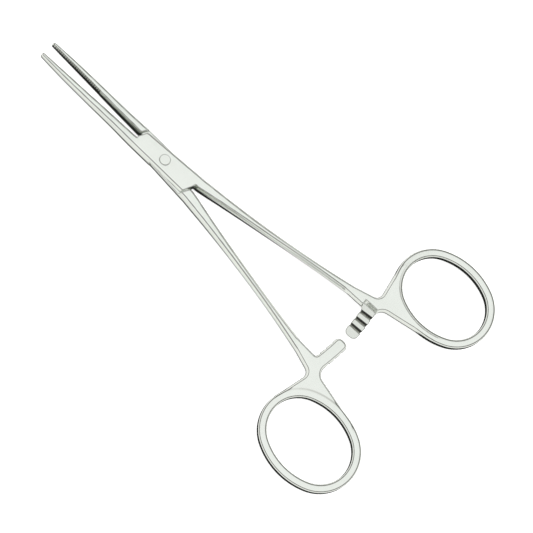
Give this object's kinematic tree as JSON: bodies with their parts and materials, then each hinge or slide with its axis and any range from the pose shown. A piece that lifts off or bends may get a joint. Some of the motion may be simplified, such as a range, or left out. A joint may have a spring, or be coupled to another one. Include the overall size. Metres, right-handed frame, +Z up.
{
  "type": "hemostat forceps",
  "caption": "Straight locking forceps with finger rings, a ratchet between the shanks, a riveted box lock and long tapered jaws, cross-serrated over their outer part.",
  "frame": {"origin": "on the pivot's axis, in the plane that the instrument lies on", "axes": "+X from the pivot to the jaw tips, +Z up out of the lying instrument, Y across it with the male half's finger ring at +Y"},
  "size_m": [0.139, 0.08, 0.0044],
  "materials": {
    "half_steel": "satin, polished on the rings",
    "rivet_steel": "ground flush with the box, satin"
  },
  "bodies": {
    "female": {"female_half": "half_steel", "box_lock_rivet": "rivet_steel"},
    "male": {"male_half": "half_steel"}
  },
  "joints": [
    {"name": "box_lock_hinge", "type": "hinge", "parent": "female", "child": "male", "pos_m": [0, 0, 0.0022], "axis": [0, 0, -1], "range_deg": [-3.8, 45]}
  ]
}
